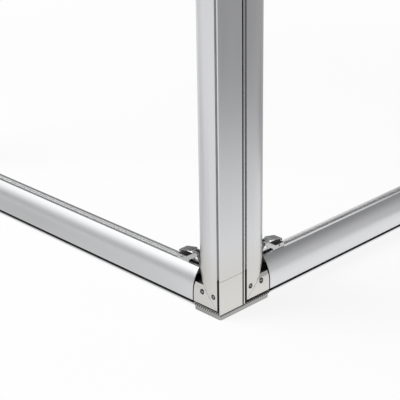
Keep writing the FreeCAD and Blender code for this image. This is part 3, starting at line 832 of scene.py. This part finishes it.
def floor_glow(tree):
    """What polished metal sees of the floor: bright at the corner, darker in front and right."""
    axes = row_axes(tree)
    east = maths(tree, "SUBTRACT", axes["X"], CORNER_PLACE[0])
    north = maths(tree, "SUBTRACT", axes["Y"], CORNER_PLACE[1])
    far, midway, near = GLOW_FRONT
    front = maths(tree, "ADD", ramp(tree, north, FRONT_REACH[:2], (far, midway)),
                  ramp(tree, north, FRONT_REACH[1:], (0.0, near - midway)))
    right = maths(tree, "MULTIPLY", ramp(tree, east, RIGHT_REACH, (0.0, GLOW_RIGHT_LOSS)),
                  ramp(tree, north, RIGHT_NORTH_REACH))
    ahead = maths(tree, "SUBTRACT", front, right)
    inside = ramp(tree, maths(tree, "SUBTRACT", east, north), INSIDE_REACH, (GLOW_LEFT, GLOW_RIGHT))
    along = maths(tree, "ADD", east, north)
    loss = maths(tree, "ADD", ramp(tree, along, RAIL_REACH[:2], (0.0, GLOW_RAIL_LOSS[0])),
                 ramp(tree, along, RAIL_REACH[1:], (0.0, GLOW_RAIL_LOSS[1])))
    close = ramp(tree, east, RAIL_LOSS_EAST)
    outside = maths(tree, "SUBTRACT", GLOW_LEFT, maths(tree, "MULTIPLY", loss, close))
    behind = blend(tree, ramp(tree, east, EAST_BORDER), outside, inside)
    return blend(tree, ramp(tree, north, NORTH_BORDER), ahead, behind)


def floor_material():
    """Floor that the camera sees as white with a faint shadow, and the metal as a soft gradient.

    The shadow fades away from the wall, so that the floor's edge doesn't show.
    """
    material, tree, shader = new_material("floor_white")
    grain = ramp(tree, stretched_noise(tree, FLOOR_GRAIN), NOISE_MIDDLE)
    tree.links.new(mixed_colour(tree, grain, *FLOOR_GREYS), shader.inputs["Base Color"])
    shader.inputs["Roughness"].default_value = FLOOR_ROUGHNESS
    away = tree.nodes.new("ShaderNodeVectorMath")
    away.operation = "LENGTH"
    tree.links.new(row_place(tree), away.inputs[0])
    shade = ramp(tree, away.outputs["Value"], FLOOR_SHADE_REACH, (FLOOR_SHADE, 0.0), smooth=True)
    white = tree.nodes.new("ShaderNodeEmission").outputs["Emission"]
    glow = tree.nodes.new("ShaderNodeEmission")
    tree.links.new(floor_glow(tree), glow.inputs["Strength"])
    output_by_ray(tree, mixed_shader(tree, shade, white, shader.outputs["BSDF"]),
                  glow.outputs["Emission"], "Material Output")
    return material


def add_floor():
    """Flat square floor, which isn't part of the object."""
    data = bpy.data.meshes.new("floor")
    signs = ((-1, -1), (1, -1), (1, 1), (-1, 1))
    points = [(x * FLOOR_HALF, y * FLOOR_HALF, 0.0) for x, y in signs]
    data.from_pydata(points, [], [(0, 1, 2, 3)])
    floor = bpy.data.objects.new("floor", data)
    bpy.context.collection.objects.link(floor)
    data.materials.append(floor_material())


def world_light():
    """Studio surroundings: grey at eye level, dark above, a large soft light behind on the left."""
    world = bpy.data.worlds.new("studio")
    bpy.context.scene.world = world
    world.use_nodes = True
    tree = world.node_tree
    direction = tree.nodes.new("ShaderNodeTexCoord").outputs["Generated"]
    horizon = ramp(tree, dot_product(tree, direction, HORIZON_AXIS), HORIZON_REACH, GLOW_HORIZON)
    above = ramp(tree, dot_product(tree, direction, NORTH), ABOVE_REACH, GLOW_ABOVE)
    climb = ramp(tree, dot_product(tree, direction, UP), CLIMB_REACH)
    soft = ramp(tree, dot_product(tree, direction, SOFT_LIGHT), SOFT_LIGHT_REACH,
                (0.0, GLOW_SOFT_LIGHT), smooth=True)
    shade = ramp(tree, dot_product(tree, direction, DARK_PATCH), DARK_PATCH_REACH,
                 (1.0, GLOW_DARK_PATCH), smooth=True)
    shaded = maths(tree, "MULTIPLY", blend(tree, climb, horizon, above), shade)
    surroundings = tree.nodes["Background"]
    white = tree.nodes.new("ShaderNodeBackground")
    for background in (surroundings, white):
        background.inputs["Color"].default_value = (1.0, 1.0, 1.0, 1.0)
    white.inputs["Strength"].default_value = 1.0
    tree.links.new(maths(tree, "ADD", shaded, soft), surroundings.inputs["Strength"])
    output_by_ray(tree, white.outputs["Background"], surroundings.outputs["Background"],
                  "World Output")


def area_light(name, place, target, size, power, reflected):
    """Rectangular lamp that faces a target, seen in reflections or not."""
    data = bpy.data.lights.new(name, "AREA")
    data.shape = "RECTANGLE"
    data.size, data.size_y = size
    data.energy = power
    lamp = bpy.data.objects.new(name, data)
    lamp.location = place
    lamp.rotation_euler = (Vector(target) - Vector(place)).to_track_quat("-Z", "Y").to_euler()
    lamp.visible_glossy = reflected
    bpy.context.collection.objects.link(lamp)


def place_camera():
    """Camera at the photograph's place, looking the way that was solved for it."""
    yaw, pitch, roll = (math.radians(angle) for angle in (CAMERA_YAW, CAMERA_PITCH, CAMERA_ROLL))
    forward = Vector((math.sin(yaw) * math.cos(pitch), math.cos(yaw) * math.cos(pitch),
                      -math.sin(pitch)))
    right = Vector((math.cos(yaw), -math.sin(yaw), 0.0))
    up = right.cross(forward)
    turned_right = math.cos(roll) * right + math.sin(roll) * up
    turned_up = math.cos(roll) * up - math.sin(roll) * right
    rotation = Matrix((turned_right, turned_up, -forward)).transposed()
    data = bpy.data.cameras.new("photo_camera")
    data.lens = CAMERA_LENS
    data.sensor_width = CAMERA_SENSOR
    data.clip_end = CAMERA_CLIP
    camera = bpy.data.objects.new("photo_camera", data)
    camera.matrix_world = Matrix.Translation(CAMERA_PLACE) @ rotation.to_4x4()
    bpy.context.collection.objects.link(camera)
    bpy.context.scene.camera = camera


add_floor()
world_light()
area_light("key", *KEY_LAMP, reflected=False)
area_light("card", *CARD_LAMP, reflected=True)
place_camera()
bpy.context.scene.view_settings.view_transform = "Standard"
